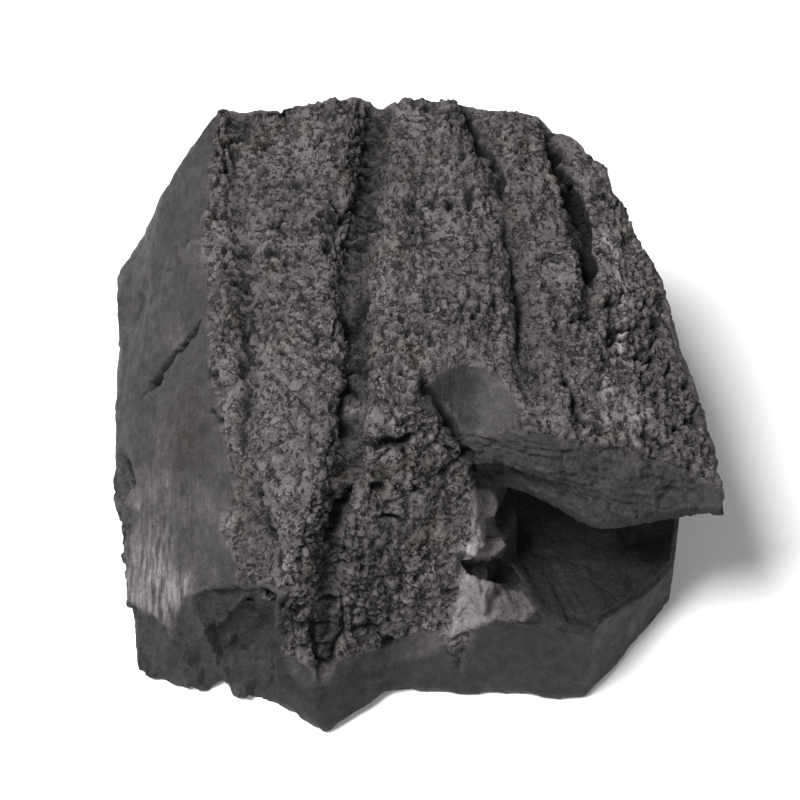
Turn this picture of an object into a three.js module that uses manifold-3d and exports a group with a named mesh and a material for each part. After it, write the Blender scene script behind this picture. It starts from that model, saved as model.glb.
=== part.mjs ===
// Charcoal lump: a split block of charred hardwood, one natural solid.
//
// Millimetres, +Z up. The grain runs along Y. The charred and cracked outside of the log is on top, the
// broken end is at -Y, the smooth split side is at -X, and the lump rests on the flat split face below. The
// origin is under the middle of the lump, on that face.
//
// The lump is made as it came about: a blank with the log's crowned, grooved top, then flat breaks that trim
// its sides, then shallow hollows and the notch that the fallen chips left.
//
// Places are shares of the half width, the half length and the height, so they follow the driving dimensions.

import * as THREE from 'three';
import { mergeVertices } from 'three/addons/utils/BufferGeometryUtils.js';
import Module from 'manifold-3d';

const wasm = await Module();
wasm.setup();

// Driving dimensions.
const WIDTH = 130; // across the grain
const LENGTH = 122; // along the grain
const HEIGHT = 66.6; // at the highest point of the back end

const HALF_WIDTH = WIDTH / 2;
const HALF_LENGTH = LENGTH / 2;

// The charred top.
const TOP_AT_MIDDLE = 0.9 * HEIGHT; // height of the crown half way along the grain
const TOP_RISE = 0.11; // rise of the crown per millimetre towards the back end
const CROWN_LINE = 0.065 * HALF_WIDTH; // the crown's line, right of the middle
const CROWN_RADIUS = 122; // of the log's outside, across the grain
const WAVE_HEIGHT = 0.7; // of the slow waves in the top
const TOP_CELL = 2.9; // spacing of the top's grid

// The top rolls down towards the broken end. It starts nearer the end at the left than at the right.
const ROLL_LEFT = { across: -0.36 * HALF_WIDTH, start: -0.57 * HALF_LENGTH };
const ROLL_RIGHT = { across: 0.16 * HALF_WIDTH, start: -0.28 * HALF_LENGTH };
const ROLL_RADIUS = 8;
const ROLL_SLOPE = Math.tan(THREE.MathUtils.degToRad(60)); // where the roll ends and a straight slope begins
const ROLL_FADE = [0.19 * HALF_WIDTH, 0.4 * HALF_WIDTH]; // right of this the top stays up, as a slab

// The split side's back corner stands up as a low wing: its middle, its half sizes and its rise.
const WING = { across: -0.7 * HALF_WIDTH, along: 0.93 * HALF_LENGTH, halfAcross: 13, halfAlong: 30, rise: 6 };

// Grooves along the grain: [across, along] shares from back to front, then the half width and the depth.
const GROOVES = [
  {
    path: [
      [-0.07, 1], [-0.1, 0.69], [-0.15, 0.11], [-0.12, -0.16], [-0.15, -0.49], [-0.21, -0.72], [-0.26, -1.03],
    ],
    half: 3.4,
    depth: 3.2,
  },
  { path: [[0.22, 1], [0.29, 0.74], [0.36, 0.44], [0.39, 0.06], [0.39, -0.25]], half: 3, depth: 1.8 },
  { path: [[0.51, 1], [0.57, 0.61], [0.62, 0.26], [0.6, 0.05]], half: 2.4, depth: 2.2 },
  { path: [[-0.55, 0.8], [-0.5, 0.15], [-0.47, -0.51], [-0.38, -0.77]], half: 3.2, depth: 1.6 },
];
const GROOVE_FADE = 8; // a groove runs out over this length at its front end

// Flat breaks that trim the blank: a point on each, in shares, and the direction it faces.
const BREAKS = {
  leftSide: { at: [-0.98, -0.02, 0.3], faces: [-1, -0.03, 0.02] },
  leftUnderside: { at: [-0.98, -0.02, 0.2], faces: [-0.86, -0.05, -0.5] },
  splitFlank: { at: [-0.7, 0.475, 0.81], faces: [-0.8, -0.06, 0.6] },
  lowerFlank: { at: [-0.485, -0.51, 0.675], faces: [-0.77, -0.27, 0.58] },
  grainedFacet: { at: [-0.425, -0.64, 0.555], faces: [-0.68, -0.42, 0.6] },
  rightSide: { at: [1, -0.51, 0.6], faces: [0.985, 0.17, -0.02] },
  rightShoulder: { at: [0.835, 0.44, 0.6], faces: [0.93, 0.36, 0.05] },
  rightBackCorner: { at: [0.65, 0.835, 0.75], faces: [0.66, 0.74, 0.1] },
  backEnd: { at: [0.235, 0.985, 0.93], faces: [0.02, 0.99, -0.13] },
  backLeftCorner: { at: [-0.885, 0.8, 0.45], faces: [-0.66, 0.75, 0.05] },
  backTopEdge: { at: [0.16, 0.965, 0.99], faces: [0.12, 0.72, 0.7] },
};

// Hollows left by rounded chips: each chip's centre, in shares, and its half sizes.
const HOLLOWS = {
  flankScoop: { at: [-1.41, 0.345, 1.08], half: [46, 62, 34] },
  spoon: { at: [0.235, -0.36, 0.88], half: [8.5, 10, 6.5] },
  cornerChip: { at: [-0.64, -0.985, 0.225], half: [17, 12, 12] },
};

// The notch in the broken end, as it is cut across the grain. Its profile's [along, up] shares run down the
// slab's edge, under the slab, down the back of the recess and out over its floor to the lip.
const NOTCH_LEFT = 0.26 * HALF_WIDTH;
const NOTCH_PROFILE = [
  [-0.38, 0.93], [-0.435, 0.75], [-0.49, 0.69], [-0.51, 0.615], [-0.575, 0.54], [-0.41, 0.52], [-0.28, 0.495],
  [-0.23, 0.39], [-0.265, 0.255], [-0.41, 0.205], [-0.605, 0.235], [-0.77, 0.3], [-1.5, 0.36], [-1.5, 0.93],
];
const NOTCH_WAVE = 1.6; // the notch's faces wave by this much
const NOTCH_SKEW = 0.45; // the slab's lower edge runs back by this much per millimetre, left of the next line
const NOTCH_SKEW_FROM = 0.59 * HALF_WIDTH;
const NOTCH_SLANT = 0.25; // lean of the recess's left wall

// The broken end's lower face in plan, [across, along] shares, with the spur that stands out of it.
const LOWER_FACE = [
  [-1.4, -0.31], [-0.98, -0.31], [-0.935, -0.525], [-0.81, -0.805], [-0.52, -0.87], [-0.395, -0.9],
  [-0.24, -1.01], [-0.04, -0.855], [0.28, -0.845], [0.59, -0.87], [0.88, -0.525], [0.945, -0.18],
  [1.4, -0.18], [1.4, -1.5], [-1.4, -1.5],
];
const LOWER_FACE_LEAN = 0.26; // millimetres back for each millimetre up
const LOWER_FACE_TOP = 0.45 * HEIGHT; // it ends below the overhanging slab

const CHARCOAL = new THREE.MeshStandardMaterial({ color: 0x2b2929, roughness: 0.75, metalness: 0 });

const { clamp, mapLinear, smoothstep } = THREE.MathUtils;

/** A place given in shares, in millimetres. */
function place([across, along, up]) {
  return [across * HALF_WIDTH, along * HALF_LENGTH, up * HEIGHT];
}

/** Where a groove's path lies across the grain, at a place along the grain. */
function acrossAt(path, y) {
  const index = path.findIndex(([, along]) => along * HALF_LENGTH <= y);
  if (index === 0) return path[0][0] * HALF_WIDTH;
  if (index < 0) return path[path.length - 1][0] * HALF_WIDTH;
  const [before, after] = [path[index - 1], path[index]];
  return mapLinear(y / HALF_LENGTH, before[1], after[1], before[0], after[0]) * HALF_WIDTH;
}

/** How far the top has rolled down: it steepens evenly, and then runs straight. */
function roll(x, y) {
  const across = clamp(x, ROLL_LEFT.across, ROLL_RIGHT.across);
  const start = mapLinear(across, ROLL_LEFT.across, ROLL_RIGHT.across, ROLL_LEFT.start, ROLL_RIGHT.start);
  const past = Math.max(0, start - y);
  const curved = Math.min(past, ROLL_SLOPE * ROLL_RADIUS);
  const drop = (curved * curved) / (2 * ROLL_RADIUS) + (past - curved) * ROLL_SLOPE;
  return drop * (1 - smoothstep(x, ...ROLL_FADE));
}

/** Depth of all grooves at a place: each has a bell-shaped section and runs out at its front end. */
function grooveDepth(x, y) {
  let depth = 0;
  for (const { path, half, depth: deepest } of GROOVES) {
    const aside = (x - acrossAt(path, y)) / half;
    const end = path[path.length - 1][1] * HALF_LENGTH;
    depth += deepest * smoothstep(y, end - GROOVE_FADE, end) * Math.exp(-aside * aside);
  }
  return depth;
}

/** How far the wing stands above the crown: a bell in both directions. */
function wingRise(x, y) {
  const across = (x - WING.across) / WING.halfAcross;
  const along = (y - WING.along) / WING.halfAlong;
  return WING.rise * Math.exp(-across * across - along * along);
}

/** Height of the charred top above the resting face. */
function topHeight(x, y) {
  const crown = (x - CROWN_LINE) ** 2 / (2 * CROWN_RADIUS);
  const wave = WAVE_HEIGHT * Math.sin(x / 5.3 + y / 31) * Math.sin(y / 14 + 1.3);
  const shaped = TOP_AT_MIDDLE + TOP_RISE * y - crown - roll(x, y) + wingRise(x, y);
  return shaped - grooveDepth(x, y) + wave;
}

/** A three.js geometry as a solid that can be cut. */
function toSolid(geometry) {
  geometry.deleteAttribute('normal');
  geometry.deleteAttribute('uv');
  const merged = mergeVertices(geometry, 1e-4);
  const mesh = new wasm.Mesh({
    numProp: 3,
    vertProperties: new Float32Array(merged.attributes.position.array),
    triVerts: new Uint32Array(merged.index.array),
  });
  return new wasm.Manifold(mesh);
}

/** A solid as a three.js geometry. */
function toGeometry(solid) {
  const mesh = solid.getMesh();
  const geometry = new THREE.BufferGeometry();
  geometry.setAttribute('position', new THREE.BufferAttribute(mesh.vertProperties, 3));
  geometry.setIndex(new THREE.BufferAttribute(mesh.triVerts, 1));
  return geometry;
}

/** The blank: a block on z = 0, a little too wide and too long, with the log's charred outside on top. */
function blank() {
  const across = WIDTH + 4 * TOP_CELL;
  const along = LENGTH + 4 * TOP_CELL;
  const columns = Math.round(across / TOP_CELL);
  const rows = Math.round(along / TOP_CELL);
  const geometry = new THREE.BoxGeometry(across, along, 2, columns, rows, 1);
  const position = geometry.attributes.position;
  for (let i = 0; i < position.count; i += 1) {
    const height = Math.max(topHeight(position.getX(i), position.getY(i)), 1);
    position.setZ(i, position.getZ(i) > 0 ? height : 0);
  }
  return toSolid(geometry);
}

/** Everything outside a flat break, as a large box with one face on it. */
function outside({ at, faces }) {
  const reach = 2 * WIDTH;
  const up = new THREE.Vector3(0, 0, 1);
  const normal = new THREE.Vector3(...faces).normalize();
  const geometry = new THREE.BoxGeometry(reach, reach, reach);
  geometry.translate(0, 0, reach / 2);
  geometry.applyQuaternion(new THREE.Quaternion().setFromUnitVectors(up, normal));
  geometry.translate(...place(at));
  return toSolid(geometry);
}

/** The rounded chip that left a hollow. */
function chip({ at, half }) {
  const geometry = new THREE.IcosahedronGeometry(1, 9);
  geometry.scale(...half);
  geometry.translate(...place(at));
  return toSolid(geometry);
}

/** The notch: its profile carried across the grain, with a slow wave, a skew and a slanted left wall. */
function notch() {
  const points = NOTCH_PROFILE.map(([along, up]) => new THREE.Vector2(along * HALF_LENGTH, up * HEIGHT));
  const geometry = new THREE.ExtrudeGeometry(new THREE.Shape(points), {
    depth: HALF_WIDTH + 10 - NOTCH_LEFT,
    steps: 12,
    bevelEnabled: false,
  });
  const position = geometry.attributes.position;
  for (let i = 0; i < position.count; i += 1) {
    const [y, z, x] = [position.getX(i), position.getY(i), position.getZ(i) + NOTCH_LEFT];
    const wave = NOTCH_WAVE * Math.sin(x / 6.1 + z / 9);
    const belowSlab = 1 - smoothstep(z, 0.6 * HEIGHT, 0.72 * HEIGHT);
    const skew = NOTCH_SKEW * Math.max(0, NOTCH_SKEW_FROM - x) * belowSlab;
    const slant = x < NOTCH_LEFT + 1 ? NOTCH_SLANT * (z - HEIGHT / 2) : 0;
    position.setXYZ(i, x - slant, y > -HALF_LENGTH ? y + wave + skew : y, z);
  }
  return toSolid(geometry);
}

/** What lies in front of the broken end's lower face: its plan carried up and leant back. */
function inFrontOfLowerFace() {
  const plan = LOWER_FACE.map(([across, along]) => new THREE.Vector2(across * HALF_WIDTH, along * HALF_LENGTH));
  const geometry = new THREE.ExtrudeGeometry(new THREE.Shape(plan), {
    depth: LOWER_FACE_TOP,
    steps: 1,
    bevelEnabled: false,
  });
  const position = geometry.attributes.position;
  for (let i = 0; i < position.count; i += 1) {
    position.setY(i, position.getY(i) + LOWER_FACE_LEAN * position.getZ(i));
    position.setZ(i, position.getZ(i) - 1);
  }
  return toSolid(geometry);
}

/** The lump's geometry, with the origin under its middle. */
function lump() {
  let solid = blank();
  for (const flat of Object.values(BREAKS)) solid = solid.subtract(outside(flat));
  for (const hollow of Object.values(HOLLOWS)) solid = solid.subtract(chip(hollow));
  solid = solid.subtract(inFrontOfLowerFace());
  solid = solid.subtract(notch());
  const geometry = toGeometry(solid);
  geometry.computeBoundingBox();
  const { min, max } = geometry.boundingBox;
  geometry.translate(-(min.x + max.x) / 2, -(min.y + max.y) / 2, -min.z);
  geometry.computeVertexNormals();
  return geometry;
}

const mesh = new THREE.Mesh(lump(), CHARCOAL);
mesh.name = 'charcoal_lump';

const group = new THREE.Group();
group.add(mesh);

export default group;
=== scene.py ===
"""The looks of a lump of hardwood charcoal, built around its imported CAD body.

The lump is worked out in millimetres in the CAD body's own frame: X across the grain, Y along it, Z up from
the face it rests on. Its surface is a function of two angles, cut by flat breaks, with the notch pushed into
it. A fine relief follows: the cracked char on top, the grain of the split faces, the rings of the broken end.
"""

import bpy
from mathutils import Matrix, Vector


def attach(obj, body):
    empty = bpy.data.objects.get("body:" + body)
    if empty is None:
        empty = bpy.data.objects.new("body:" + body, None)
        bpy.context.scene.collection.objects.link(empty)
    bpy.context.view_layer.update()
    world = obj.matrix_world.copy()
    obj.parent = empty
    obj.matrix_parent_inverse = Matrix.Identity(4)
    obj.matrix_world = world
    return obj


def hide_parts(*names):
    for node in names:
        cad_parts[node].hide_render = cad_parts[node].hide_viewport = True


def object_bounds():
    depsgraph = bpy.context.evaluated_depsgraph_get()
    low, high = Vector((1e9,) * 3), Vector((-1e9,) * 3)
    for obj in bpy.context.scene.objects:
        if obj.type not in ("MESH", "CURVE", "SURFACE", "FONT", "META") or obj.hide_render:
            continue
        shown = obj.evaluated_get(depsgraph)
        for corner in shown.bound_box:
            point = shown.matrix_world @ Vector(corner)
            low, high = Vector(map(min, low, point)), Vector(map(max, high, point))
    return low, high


bl_info = {
    "name": "Charcoal Lump",
    "version": (1, 0, 0),
    "blender": (4, 5, 0),
    "location": "View3D > Sidebar > Charcoal",
    "description": "Builds a split lump of hardwood charcoal with a cracked, charred top",
    "category": "Add Mesh",
}

import math

import bmesh
import bpy
import numpy as np
from bpy.props import FloatProperty, FloatVectorProperty, IntProperty, PointerProperty
from mathutils import Vector

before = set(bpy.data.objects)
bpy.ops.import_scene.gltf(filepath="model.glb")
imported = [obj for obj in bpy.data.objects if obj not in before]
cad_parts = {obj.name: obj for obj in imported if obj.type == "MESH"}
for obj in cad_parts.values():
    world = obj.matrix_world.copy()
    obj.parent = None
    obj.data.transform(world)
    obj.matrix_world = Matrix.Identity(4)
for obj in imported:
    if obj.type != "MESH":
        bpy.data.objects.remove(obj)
CAD_LOW, CAD_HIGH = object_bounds()

NODE = "charcoal_lump"
BODY = "root"

MM = 0.001  # a millimetre in metres
UNIT = np.array([
    (CAD_HIGH.x - CAD_LOW.x) / 2,
    (CAD_HIGH.y - CAD_LOW.y) / 2,
    CAD_HIGH.z,
]) / MM  # half width, half length and height: places below are shares of these
HALF_WIDTH, HALF_LENGTH, HEIGHT = UNIT

# The charred top, as in the CAD body.
TOP_AT_MIDDLE = 0.9 * HEIGHT
TOP_RISE = 0.11
CROWN_LINE = 0.065 * HALF_WIDTH
CROWN_RADIUS = 122
ROLL_ACROSS = (-0.36 * HALF_WIDTH, 0.16 * HALF_WIDTH)
ROLL_START = (-0.57 * HALF_LENGTH, -0.28 * HALF_LENGTH)
ROLL_RADIUS = 8
ROLL_SLOPE = math.tan(math.radians(60))
ROLL_FADE = (0.19 * HALF_WIDTH, 0.4 * HALF_WIDTH)
WING = {
    "across": -0.7 * HALF_WIDTH,
    "along": 0.93 * HALF_LENGTH,
    "half_across": 13,
    "half_along": 30,
    "rise": 6,
}

# Grooves along the grain: a path from the back to the front, half the groove's width, and its depth.
GROOVES = [
    ([(-0.07, 1), (-0.1, 0.69), (-0.15, 0.11), (-0.12, -0.16), (-0.15, -0.49), (-0.21, -0.72),
      (-0.26, -1.03)], 3.4, 3.2),
    ([(0.22, 1), (0.29, 0.74), (0.36, 0.44), (0.39, 0.06), (0.39, -0.25)], 3.0, 1.8),
    ([(0.51, 1), (0.57, 0.61), (0.62, 0.26), (0.6, 0.05)], 2.4, 2.2),
    ([(-0.55, 0.8), (-0.5, 0.15), (-0.47, -0.51), (-0.38, -0.77)], 3.2, 1.6),
]
GROOVE_MIDDLE_DEPTH = 1.5  # how much deeper the middle of a groove is

# Places on the visible side are given as seen from the front, from this far above the level: millimetres
# across from the middle, and millimetres up from the front bottom edge.
VIEW_RISE = math.radians(50)
VIEW_FROM = -60

# Open cracks: a path as seen, half the crack's width, and its depth.
CRACKS = [
    ([(33.5, 125), (35.6, 118.5), (38, 110), (39.8, 102.7), (40.7, 95.3), (40.9, 91.5)], 0.75, 3.4),
    ([(32, 75), (33.8, 70.3), (36, 64.8), (37, 62)], 0.45, 2.2),
    ([(14.3, 133), (16.2, 128.6), (18, 123), (21.7, 117.5), (22.5, 109)], 0.5, 1.8),
    ([(4.2, 73.1), (6.5, 67.5), (11.1, 61), (15.3, 53.7)], 0.8, 3.6),
    ([(-7.9, 59.7), (-4.6, 58.7), (-0.9, 59.7), (3.7, 60.3)], 1.0, 3.2),
    ([(-17.6, 106.8), (-13.5, 106), (-10.2, 106.4)], 0.55, 2.2),
    ([(-16.2, 100.8), (-13.9, 99)], 0.9, 2.0),
    ([(-30, 50), (-27.7, 43.5), (-24.5, 38.9), (-24, 32)], 0.55, 2.8),
    ([(-40.7, 73.1), (-37.9, 72.1)], 0.4, 1.6),
    ([(-39.3, 65.7), (-37, 62)], 0.4, 1.6),
    ([(-9.2, 50.9), (-10.2, 49), (-12, 43.5), (-13, 39.8)], 0.6, 2.6),
    ([(-17.1, 25), (-16.7, 18.5), (-16.2, 13.9), (-13.9, 12.5)], 0.45, 1.8),
    ([(-22.2, 21.3), (-17.6, 22.2)], 0.4, 1.3),
    ([(-21.3, 17.1), (-17.1, 17.6)], 0.4, 1.3),
    ([(-17.1, 21.3), (-13, 20.8)], 0.4, 1.3),
    ([(-16.6, 26.4), (-12.4, 26.8)], 0.4, 1.3),
    ([(-12, 27.8), (-11.6, 19.4), (-13.9, 12.9)], 0.45, 1.6),
    ([(-22.8, 29), (-22.4, 21), (-21.6, 14)], 0.4, 1.3),
    ([(-22, 25.5), (-17.5, 25.8)], 0.4, 1.3),
    ([(-16.6, 17.2), (-12.6, 16.8)], 0.4, 1.3),
    ([(-20.8, 81), (-17.6, 80)], 0.35, 1.6),
    ([(-17.6, 76.8), (-11.6, 75.1)], 0.45, 2.0),
    ([(-32.4, 75.4), (-28.7, 75.7)], 0.35, 1.6),
    ([(-25, 77.7), (-23.1, 76.8)], 0.35, 1.4),
    ([(41.6, 99.9), (46.7, 98.8)], 0.4, 1.9),
    ([(41.2, 86.5), (44.4, 88.8), (48.1, 86)], 0.5, 2.2),
    ([(42.1, 82.3), (50, 82.3)], 0.4, 1.9),
    ([(50, 75.4), (53.7, 76.3)], 0.4, 1.7),
    ([(-5.6, 50.4), (-2.8, 50)], 0.5, 1.8),
    ([(-4.6, 44.4), (0.9, 43.5)], 0.45, 1.8),
    ([(2.8, 50), (4.6, 49)], 0.4, 1.6),
    ([(-3.7, 17.6), (-1.4, 17.1)], 1.0, 1.8),
    ([(-7.9, 90), (-9.2, 84), (-9.7, 78)], 0.7, 1.6),
    ([(-9.2, 74), (-10.6, 66), (-10.2, 60)], 0.6, 1.6),
    ([(-31.9, 88), (-32.6, 78), (-32.4, 66), (-31.5, 56)], 0.4, 1.2),
    ([(22.5, 108), (24, 96), (24.6, 84), (24.4, 74)], 0.4, 1.1),
    ([(-41.6, 84.2), (-44.9, 80.9), (-49.5, 75.9), (-52.7, 71.2), (-56.4, 67.5)], 0.5, 2.2),
    ([(-60.6, 55.5), (-58.7, 51.8), (-57.3, 48.1)], 0.5, 2.4),
]

# Outlines of finishes as seen: the silvery grained facet, which carries a painted sheen, the broken corner,
# which is painted dark as shade, and a dull dark patch.
SILVER = [(-56, 51), (-58, 44), (-60, 32), (-59.5, 24), (-53, 19.5), (-46, 19), (-44.5, 27), (-47, 37),
          (-44, 43), (-40, 44), (-41, 50), (-47, 53)]
CORNER = [(-59.2, 25.4), (-52.6, 21.9), (-47.5, 19.9), (-44.9, 25.4), (-44.4, 27.2), (-31.2, 30.1),
          (-22.5, 29), (-23, 25), (-25.3, 16.3), (-25, 10.7), (-24, -8), (-70, -8), (-70, 24)]
DULL_PATCH = (-45, 61, 5, 11)  # a patch's middle, and half its width and height

# A bite out of the dark corner, and how deep it is.
CORNER_BITE = [(-44, 27), (-40, 29.5), (-31, 31), (-23.5, 30), (-24.5, 22), (-31, 13), (-38, 12), (-40, 20)]
CORNER_BITE_DEPTH = 2.6

# How far left the char reaches over the split flank: heights as seen, and the edge's place across.
CHAR_EDGE = [(30, -33), (36.7, -34.2), (40.8, -36.5), (52, -34.2), (64.3, -38.3), (73.4, -40.3), (82, -41),
             (90, -41.6), (100, -39), (104, -30)]

# The broken steps at the notch's left as seen: an outline, a tone and a height for each. Tones above 1 paint
# light on the lit steps, and tones below 1 paint shade, deepest in the recessed gap between them.
STEPS = [
    ([(14.7, 49.2), (18.3, 49), (19.7, 46.8), (19.9, 40.1), (20.6, 38.7), (14.4, 38.7)], 1.5, 0.0),
    ([(13.9, 38.7), (20.6, 38.7), (21.6, 37.3), (19.2, 35.1), (13, 34.9)], 2.1, 0.5),
    ([(12.4, 34.4), (17.3, 34.9), (22.1, 33.9), (25.4, 29.6), (20.6, 29.6), (13.9, 32)], 0.12, -2.0),
    ([(12.5, 33.9), (13.9, 32), (20.2, 29.6), (20.6, 25.8), (19.2, 22.4), (13.9, 20), (9.9, 17.6),
      (12, 26.7)], 1.38, 0.0),
    ([(20.6, 28.2), (25, 27.7), (27.8, 24.3), (25, 22.4), (19.7, 22.4)], 0.85, 0.0),
]

LIT_CREST = (45, 84, 6, 28)  # the crest right of the long slit, painted lighter where light catches it
PLAIN_CHAR = [(-17, 20, 7, 10), (11, 38, 4, 17)]  # where the char is less cracked

# Small spots painted lighter as highlights, as seen: the middle of each, and how large it is.
PAINTED_GLINTS = [(-12.5, 51.3, 1.5), (-49.5, 80.5, 3.2), (-23.5, 34, 2.2), (-36.5, 43, 1.8), (-9.5, 66, 1.6),
              (48, 64.5, 2.6), (45.5, 100, 3.0), (-4, 70, 1.6), (-1, 62.5, 1.4), (-58.4, 50.5, 1.1),
              (-57.6, 47.5, 1.1), (-57.2, 44.5, 1.1)]

# The char's tongue ends in a lip over the broken end: its X and Z, and the line as seen where the bevel
# under it starts, with the bevel's greatest height and its slope.
LIP = [(-30, 10), (-25, 11.5), (-13.9, 16.8), (-4.6, 13), (7.4, 15.6), (9.5, 17), (11, 23), (20, 23)]
BEVEL = [(-26, 8.6), (-11, 9.1), (-1.9, 11.6), (7.7, 14.8), (12.5, 17.2), (16, 22)]
BEVEL_HEIGHT = 3.5
BEVEL_SLOPE = 0.45

# Where things start or end softly, in millimetres: across for left and right, up as seen for low and high,
# and along for back.
FADES = {
    "tongue_right": (21, 22),
    "flank_char_low": (29.5, 30.5),
    "flank_char_high": (101, 103),
    "flank_char_right": (4, 5),
    "silver_high": (43, 33),
    "steps_back": (-28, -22),
    "scorched_left": (-57.5, -59.5),
    "scorched_low": (24, 28),
    "scorched_high": (50, 56),
    "splinters_left": (-61, -55),
    "smooth_end_right": (58, 63),
    "bevel_left": (-24, -21),
    "bevel_right": (11, 14),
    "lip_shade_right": (6, -8),
    "flank_shade_low": (60, 75),
}

# Flat breaks: a point on each and the direction it faces.
BREAKS = {
    "left_side": ((-0.98, -0.02, 0.3), (-1, -0.03, 0.02)),
    "left_underside": ((-0.98, -0.02, 0.2), (-0.86, -0.05, -0.5)),
    "split_flank": ((-0.7, 0.475, 0.81), (-0.8, -0.06, 0.6)),
    "lower_flank": ((-0.485, -0.51, 0.675), (-0.77, -0.27, 0.58)),
    "grained_facet": ((-0.425, -0.64, 0.555), (-0.68, -0.42, 0.6)),
    "right_side": ((1, -0.51, 0.6), (0.985, 0.17, -0.02)),
    "right_shoulder": ((0.835, 0.44, 0.6), (0.93, 0.36, 0.05)),
    "right_back_corner": ((0.65, 0.835, 0.75), (0.66, 0.74, 0.1)),
    "back_end": ((0.235, 0.985, 0.93), (0.02, 0.99, -0.13)),
    "back_left_corner": ((-0.885, 0.8, 0.45), (-0.66, 0.75, 0.05)),
    "back_top_edge": ((0.16, 0.965, 0.99), (0.12, 0.72, 0.7)),
}

# Rounded hollows: centre, half sizes in millimetres.
HOLLOWS = {
    "flank_scoop": ((-1.41, 0.345, 1.08), (46, 62, 34)),
    "spoon": ((0.215, -0.375, 0.955), (12, 12.5, 12)),
    "corner_chip": ((-0.64, -0.985, 0.225), (17, 12, 12)),
    "corner_hollow": ((-0.5, -1.0, 0.27), (15, 15, 14)),
    "corner_nick": ((-0.575, -0.93, 0.0), (3.6, 9, 8)),
}
SPOON_SIDE = [(4.2, -13), (6.5, -20.6), (11.1, -27.2), (15.3, -33.5), (17, -37)]  # X and Y of its left side

# The broken end: the lower face's plan, and the slab's edge and the notch's mouth in profile.
LOWER_FACE = [(-0.98, -0.31), (-0.935, -0.525), (-0.81, -0.805), (-0.52, -0.87), (-0.395, -0.9),
              (-0.24, -1.01), (-0.04, -0.855), (0.28, -0.845), (0.59, -0.87), (0.88, -0.525), (0.945, -0.18)]
LOWER_FACE_LEAN = 0.26
LOWER_FACE_TOP = 0.45 * HEIGHT
SLAB_EDGE = [(-0.77, 0.3), (-0.575, 0.54), (-0.51, 0.615), (-0.49, 0.69), (-0.435, 0.75), (-0.38, 0.93)]
NOTCH_LEFT = 0.26 * HALF_WIDTH
NOTCH_WALL = [(-0.42, 0.2), (-0.27, 0.255), (-0.23, 0.39), (-0.28, 0.495), (-0.41, 0.52), (-0.56, 0.54)]
NOTCH_FLOOR = [(-1.5, 0.36), (-0.77, 0.3), (-0.605, 0.235), (-0.41, 0.205), (-0.25, 0.255)]
NOTCH_STEPS = [(0, 3), (14, 3), (25, 0.5), (26.5, -5), (30, -5), (31, -1.5), (37, -1.5), (38, 0), (60, 0)]
NOTCH_SKEW = 0.45
NOTCH_SKEW_FROM = 0.59 * HALF_WIDTH
NOTCH_CEILING = 0.545 * HEIGHT
NOTCH_INWARD = np.array([-0.2, 0.93, -0.3])
NOTCH_DEEPEST = 45
NOTCH_STRIDE = 0.4  # how far a point of the mouth moves inwards at a time

# The log's middle in X and Z, below the lump: its rings run round this line.
PITH = (0.1 * HALF_WIDTH, -1.1 * HEIGHT)

CENTRE = np.array([0.0, 2.0, 25.0])  # every part of the surface but the notch is seen from here
FARTHEST = 115.0
HALVINGS = 18
AROUND = 680
RINGS = 420

# Which faces share a finish.
FINISHES = {
    "char": ("top", "back_top_edge"),
    "split": ("split_flank", "lower_flank", "flank_scoop", "spoon", "grained_facet"),
    "grain": ("left_side", "left_underside", "right_side", "right_shoulder"),
    "lip": ("lower_face", "corner_chip", "corner_hollow", "corner_nick"),
    "end": ("back_end", "back_left_corner", "right_back_corner"),
    "slab": ("slab_edge",),
    "base": ("base",),
    "notch": ("notch",),
}
FINISH_BLEND = 0.6  # how far two finishes run into each other
EDGE_WIDTH = 2.4  # how far from an edge its wear reaches

# How high each pattern of the relief stands on each finish, in millimetres. The base has none.
RELIEF = {
    "char": {"char": 1},
    "split": {"gentle": 0.6, "streaks": 0.18, "rough": 0.22},
    "grain": {"fibres": 0.75, "rough": 0.35, "gentle": 0.5},
    "lip": {"level": 0.8, "gentle": 0.25, "rough": 0.1},
    "end": {"rough": 0.45, "gentle": 0.5, "wide_rings": 0.32, "checks": -1.4, "torn": 0.25},
    "slab": {"rings": 0.6, "rough": 0.5, "char": 0.3},
    "notch": {"rough": 0.22, "fibres": 0.2, "torn": 0.15, "stepped": 0.2},
    "corner": {"splinters": 0.6, "rough": 0.12},
    "silver": {"level": 0.3, "gentle": 0.3, "streaks": 0.55, "rough": 0.25},
}

# What the material is told about each point, three channels in each colour attribute.
CHANNELS = {
    "finish_a": ("char", "split", "grain"),
    "finish_b": ("silver", "lip", "slab"),
    "finish_c": ("crack_shade", "light_and_tone", "dull"),
}

# The stage's lights: where each stands, its size and its power, in metres and watts.
LIGHTS = {
    "key": ((-0.62, -0.2, 1.15), 0.6, 34.0),
    "fill": ((0.2, -1.1, 0.7), 0.8, 5.0),
}
SKY_STRENGTH = 0.22
FLOOR_REACH = 20  # in widths of the lump
FLOOR_GAP = 0.2 * MM


# ---------------------------------------------------------------- numbers spread over space

def mixed_bits(x, y, z, seed):
    """An even random number from 0 to 1 for each lattice point, by stirring the bits of its three indices."""
    h = x.astype(np.uint32) * np.uint32(0x8DA6B343)
    h ^= y.astype(np.uint32) * np.uint32(0xD8163841)
    h ^= z.astype(np.uint32) * np.uint32(0xCB1AB31F)
    h ^= np.uint32((seed * 0x9E3779B1) & 0xFFFFFFFF)
    h ^= h >> np.uint32(15)
    h *= np.uint32(0x2C1B3C6D)
    h ^= h >> np.uint32(12)
    h *= np.uint32(0x297A2D39)
    h ^= h >> np.uint32(15)
    return h * (1.0 / 2**32)


def ramp(value, start, end):
    """0 below start, 1 above end, and a smooth S between."""
    t = np.clip((value - start) / (end - start), 0, 1)
    return t * t * (3 - 2 * t)


def fade(value, name):
    """A named ramp, from 0 at the first of its two places to 1 at the second."""
    return ramp(value, *FADES[name])


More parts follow.
